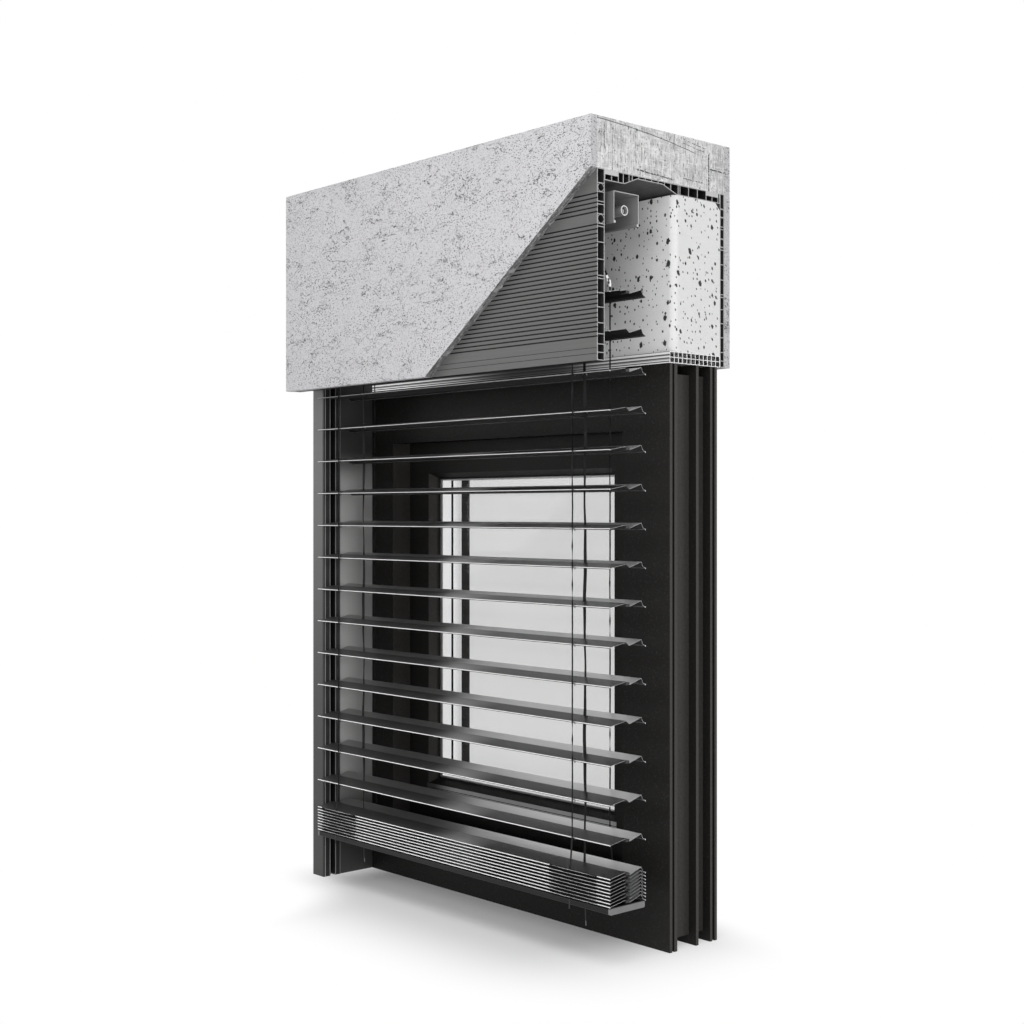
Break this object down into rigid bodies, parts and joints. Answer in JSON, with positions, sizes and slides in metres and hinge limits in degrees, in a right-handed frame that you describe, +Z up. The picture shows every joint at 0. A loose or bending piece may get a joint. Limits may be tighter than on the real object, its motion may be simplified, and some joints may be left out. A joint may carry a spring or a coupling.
{
  "type": "exterior venetian blind",
  "caption": "Exterior venetian blind with folded metal slats in a plastered lintel box, in front of a fixed window, cut open at one end to show the drive and the box.",
  "frame": {"origin": "on the floor, under the middle of the unit's width and depth", "axes": "+X along the blind towards the cut end, +Y from the street to the room, +Z up"},
  "size_m": [0.851, 0.3344, 1.346],
  "materials": {
    "plaster": "matte",
    "mortar": "matte",
    "grey_profile": "satin",
    "foam": "matte",
    "frame_foil": "satin",
    "clear_glass": "gloss",
    "spacer_metal": "satin",
    "rail_metal": "satin",
    "lining": "matte",
    "head_metal": "satin",
    "black_plastic": "satin",
    "zinc_steel": "satin",
    "motor_metal": "satin",
    "shaft_steel": "satin",
    "reel_plastic": "satin",
    "cord_textile": "matte",
    "tape_textile": "matte",
    "slat_metal": "satin",
    "cap_plastic": "satin"
  },
  "bodies": {
    "box_and_window": {"front_render": "plaster", "rear_render": "plaster", "lintel_block": "mortar", "front_panel": "grey_profile", "top_panel": "grey_profile", "rear_panel": "grey_profile", "closure_profile": "grey_profile", "end_plate": "grey_profile", "insulation_block": "foam", "window_frame": "frame_foil", "sash_frame": "frame_foil", "glazing_bead": "frame_foil", "glass_panes": "clear_glass", "pane_spacer": "spacer_metal", "guide_rail": "rail_metal", "rail_carrier": "rail_metal", "rail_lining": "lining", "head_rail": "head_metal", "head_rail_cap": "black_plastic", "rail_hangers": "zinc_steel", "bearing_housings": "black_plastic", "drive_motor": "motor_metal", "ladder_cords": "cord_textile", "lift_tapes": "tape_textile"},
    "bottom_packet": {"bottom_rail": "slat_metal", "bottom_rail_caps": "cap_plastic", "packed_slats": "slat_metal"},
    "shaft": {"drive_shaft": "shaft_steel", "tape_reels": "reel_plastic"},
    "drums": {"tilt_drums": "reel_plastic"},
    "shoe_01": {"guide_shoe_01": "black_plastic"},
    "slat_01": {"slat_01": "slat_metal"},
    "shoe_02": {"guide_shoe_02": "black_plastic"},
    "slat_02": {"slat_02": "slat_metal"},
    "shoe_03": {"guide_shoe_03": "black_plastic"},
    "slat_03": {"slat_03": "slat_metal"},
    "shoe_04": {"guide_shoe_04": "black_plastic"},
    "slat_04": {"slat_04": "slat_metal"},
    "shoe_05": {"guide_shoe_05": "black_plastic"},
    "slat_05": {"slat_05": "slat_metal"},
    "shoe_06": {"guide_shoe_06": "black_plastic"},
    "slat_06": {"slat_06": "slat_metal"},
    "shoe_07": {"guide_shoe_07": "black_plastic"},
    "slat_07": {"slat_07": "slat_metal"},
    "shoe_08": {"guide_shoe_08": "black_plastic"},
    "slat_08": {"slat_08": "slat_metal"},
    "shoe_09": {"guide_shoe_09": "black_plastic"},
    "slat_09": {"slat_09": "slat_metal"},
    "shoe_10": {"guide_shoe_10": "black_plastic"},
    "slat_10": {"slat_10": "slat_metal"},
    "shoe_11": {"guide_shoe_11": "black_plastic"},
    "slat_11": {"slat_11": "slat_metal"},
    "shoe_12": {"guide_shoe_12": "black_plastic"},
    "slat_12": {"slat_12": "slat_metal"},
    "shoe_13": {"guide_shoe_13": "black_plastic"},
    "slat_13": {"slat_13": "slat_metal"},
    "shoe_14": {"guide_shoe_14": "black_plastic"},
    "slat_14": {"slat_14": "slat_metal"},
    "shoe_15": {"guide_shoe_15": "black_plastic"},
    "slat_15": {"slat_15": "slat_metal"}
  },
  "joints": [
    {"name": "lift", "type": "slide", "parent": "box_and_window", "child": "bottom_packet", "axis": [0, 0, 1], "range_m": [0, 0.558], "deforming": ["ladder_cords", "lift_tapes"]},
    {"name": "shoe_slide_01", "type": "slide", "parent": "box_and_window", "child": "shoe_01", "axis": [0, 0, 1], "range_m": [0, 0.5516]},
    {"name": "shoe_slide_02", "type": "slide", "parent": "box_and_window", "child": "shoe_02", "axis": [0, 0, 1], "range_m": [0, 0.5165]},
    {"name": "shoe_slide_03", "type": "slide", "parent": "box_and_window", "child": "shoe_03", "axis": [0, 0, 1], "range_m": [0, 0.4814]},
    {"name": "shoe_slide_04", "type": "slide", "parent": "box_and_window", "child": "shoe_04", "axis": [0, 0, 1], "range_m": [0, 0.4463]},
    {"name": "shoe_slide_05", "type": "slide", "parent": "box_and_window", "child": "shoe_05", "axis": [0, 0, 1], "range_m": [0, 0.4112]},
    {"name": "shoe_slide_06", "type": "slide", "parent": "box_and_window", "child": "shoe_06", "axis": [0, 0, 1], "range_m": [0, 0.3761]},
    {"name": "shoe_slide_07", "type": "slide", "parent": "box_and_window", "child": "shoe_07", "axis": [0, 0, 1], "range_m": [0, 0.341]},
    {"name": "shoe_slide_08", "type": "slide", "parent": "box_and_window", "child": "shoe_08", "axis": [0, 0, 1], "range_m": [0, 0.3059]},
    {"name": "shoe_slide_09", "type": "slide", "parent": "box_and_window", "child": "shoe_09", "axis": [0, 0, 1], "range_m": [0, 0.2708]},
    {"name": "shoe_slide_10", "type": "slide", "parent": "box_and_window", "child": "shoe_10", "axis": [0, 0, 1], "range_m": [0, 0.2357]},
    {"name": "shoe_slide_11", "type": "slide", "parent": "box_and_window", "child": "shoe_11", "axis": [0, 0, 1], "range_m": [0, 0.2006]},
    {"name": "shoe_slide_12", "type": "slide", "parent": "box_and_window", "child": "shoe_12", "axis": [0, 0, 1], "range_m": [0, 0.1655]},
    {"name": "shoe_slide_13", "type": "slide", "parent": "box_and_window", "child": "shoe_13", "axis": [0, 0, 1], "range_m": [0, 0.1304]},
    {"name": "shoe_slide_14", "type": "slide", "parent": "box_and_window", "child": "shoe_14", "axis": [0, 0, 1], "range_m": [0, 0.0953]},
    {"name": "shoe_slide_15", "type": "slide", "parent": "box_and_window", "child": "shoe_15", "axis": [0, 0, 1], "range_m": [0, 0.0602]},
    {"name": "slat_tilt_01", "type": "hinge", "parent": "shoe_01", "child": "slat_01", "pos_m": [0, -0.08305, 0.1993], "axis": [1, 0, 0], "range_deg": [0, 65.5]},
    {"name": "slat_tilt_02", "type": "hinge", "parent": "shoe_02", "child": "slat_02", "pos_m": [0, -0.08305, 0.2619], "axis": [1, 0, 0], "range_deg": [0, 65.5]},
    {"name": "slat_tilt_03", "type": "hinge", "parent": "shoe_03", "child": "slat_03", "pos_m": [0, -0.08305, 0.3245], "axis": [1, 0, 0], "range_deg": [0, 65.5]},
    {"name": "slat_tilt_04", "type": "hinge", "parent": "shoe_04", "child": "slat_04", "pos_m": [0, -0.08305, 0.3871], "axis": [1, 0, 0], "range_deg": [0, 65.5]},
    {"name": "slat_tilt_05", "type": "hinge", "parent": "shoe_05", "child": "slat_05", "pos_m": [0, -0.08305, 0.4497], "axis": [1, 0, 0], "range_deg": [0, 65.5]},
    {"name": "slat_tilt_06", "type": "hinge", "parent": "shoe_06", "child": "slat_06", "pos_m": [0, -0.08305, 0.5123], "axis": [1, 0, 0], "range_deg": [0, 65.5]},
    {"name": "slat_tilt_07", "type": "hinge", "parent": "shoe_07", "child": "slat_07", "pos_m": [0, -0.08305, 0.5749], "axis": [1, 0, 0], "range_deg": [0, 65.5]},
    {"name": "slat_tilt_08", "type": "hinge", "parent": "shoe_08", "child": "slat_08", "pos_m": [0, -0.08305, 0.6375], "axis": [1, 0, 0], "range_deg": [0, 65.5]},
    {"name": "slat_tilt_09", "type": "hinge", "parent": "shoe_09", "child": "slat_09", "pos_m": [0, -0.08305, 0.7001], "axis": [1, 0, 0], "range_deg": [0, 65.5]},
    {"name": "slat_tilt_10", "type": "hinge", "parent": "shoe_10", "child": "slat_10", "pos_m": [0, -0.08305, 0.7627], "axis": [1, 0, 0], "range_deg": [0, 65.5]},
    {"name": "slat_tilt_11", "type": "hinge", "parent": "shoe_11", "child": "slat_11", "pos_m": [0, -0.08305, 0.8253], "axis": [1, 0, 0], "range_deg": [0, 65.5]},
    {"name": "slat_tilt_12", "type": "hinge", "parent": "shoe_12", "child": "slat_12", "pos_m": [0, -0.08305, 0.8879], "axis": [1, 0, 0], "range_deg": [0, 65.5]},
    {"name": "slat_tilt_13", "type": "hinge", "parent": "shoe_13", "child": "slat_13", "pos_m": [0, -0.08305, 0.9505], "axis": [1, 0, 0], "range_deg": [0, 65.5]},
    {"name": "slat_tilt_14", "type": "hinge", "parent": "shoe_14", "child": "slat_14", "pos_m": [0, -0.08305, 1.0131], "axis": [1, 0, 0], "range_deg": [0, 65.5]},
    {"name": "tilt", "type": "hinge", "parent": "shoe_15", "child": "slat_15", "pos_m": [0, -0.08305, 1.0757], "axis": [1, 0, 0], "range_deg": [0, 65]},
    {"name": "drum_turn", "type": "hinge", "parent": "box_and_window", "child": "drums", "pos_m": [0, -0.0872, 1.2055], "axis": [1, 0, 0], "range_deg": [0, 122]},
    {"name": "shaft_turn", "type": "hinge", "parent": "box_and_window", "child": "shaft", "pos_m": [0, -0.0872, 1.2055], "axis": [1, 0, 0], "range_deg": [0, 2244]}
  ],
  "couplings": [
    {"joint": "shoe_slide_01", "follows": "lift", "ratio": 0.98817},
    {"joint": "shoe_slide_02", "follows": "lift", "ratio": 0.92527},
    {"joint": "shoe_slide_03", "follows": "lift", "ratio": 0.86237},
    {"joint": "shoe_slide_04", "follows": "lift", "ratio": 0.79946},
    {"joint": "shoe_slide_05", "follows": "lift", "ratio": 0.73656},
    {"joint": "shoe_slide_06", "follows": "lift", "ratio": 0.67366},
    {"joint": "shoe_slide_07", "follows": "lift", "ratio": 0.61075},
    {"joint": "shoe_slide_08", "follows": "lift", "ratio": 0.54785},
    {"joint": "shoe_slide_09", "follows": "lift", "ratio": 0.48495},
    {"joint": "shoe_slide_10", "follows": "lift", "ratio": 0.42204},
    {"joint": "shoe_slide_11", "follows": "lift", "ratio": 0.35914},
    {"joint": "shoe_slide_12", "follows": "lift", "ratio": 0.29624},
    {"joint": "shoe_slide_13", "follows": "lift", "ratio": 0.23333},
    {"joint": "shoe_slide_14", "follows": "lift", "ratio": 0.17043},
    {"joint": "shoe_slide_15", "follows": "lift", "ratio": 0.10753},
    {"joint": "slat_tilt_01", "follows": "tilt", "ratio": 1},
    {"joint": "slat_tilt_02", "follows": "tilt", "ratio": 1},
    {"joint": "slat_tilt_03", "follows": "tilt", "ratio": 1},
    {"joint": "slat_tilt_04", "follows": "tilt", "ratio": 1},
    {"joint": "slat_tilt_05", "follows": "tilt", "ratio": 1},
    {"joint": "slat_tilt_06", "follows": "tilt", "ratio": 1},
    {"joint": "slat_tilt_07", "follows": "tilt", "ratio": 1},
    {"joint": "slat_tilt_08", "follows": "tilt", "ratio": 1},
    {"joint": "slat_tilt_09", "follows": "tilt", "ratio": 1},
    {"joint": "slat_tilt_10", "follows": "tilt", "ratio": 1},
    {"joint": "slat_tilt_11", "follows": "tilt", "ratio": 1},
    {"joint": "slat_tilt_12", "follows": "tilt", "ratio": 1},
    {"joint": "slat_tilt_13", "follows": "tilt", "ratio": 1},
    {"joint": "slat_tilt_14", "follows": "tilt", "ratio": 1},
    {"joint": "drum_turn", "follows": "tilt", "ratio": 1.875},
    {"joint": "shaft_turn", "follows": "lift", "rad_per_m": 70.175}
  ]
}
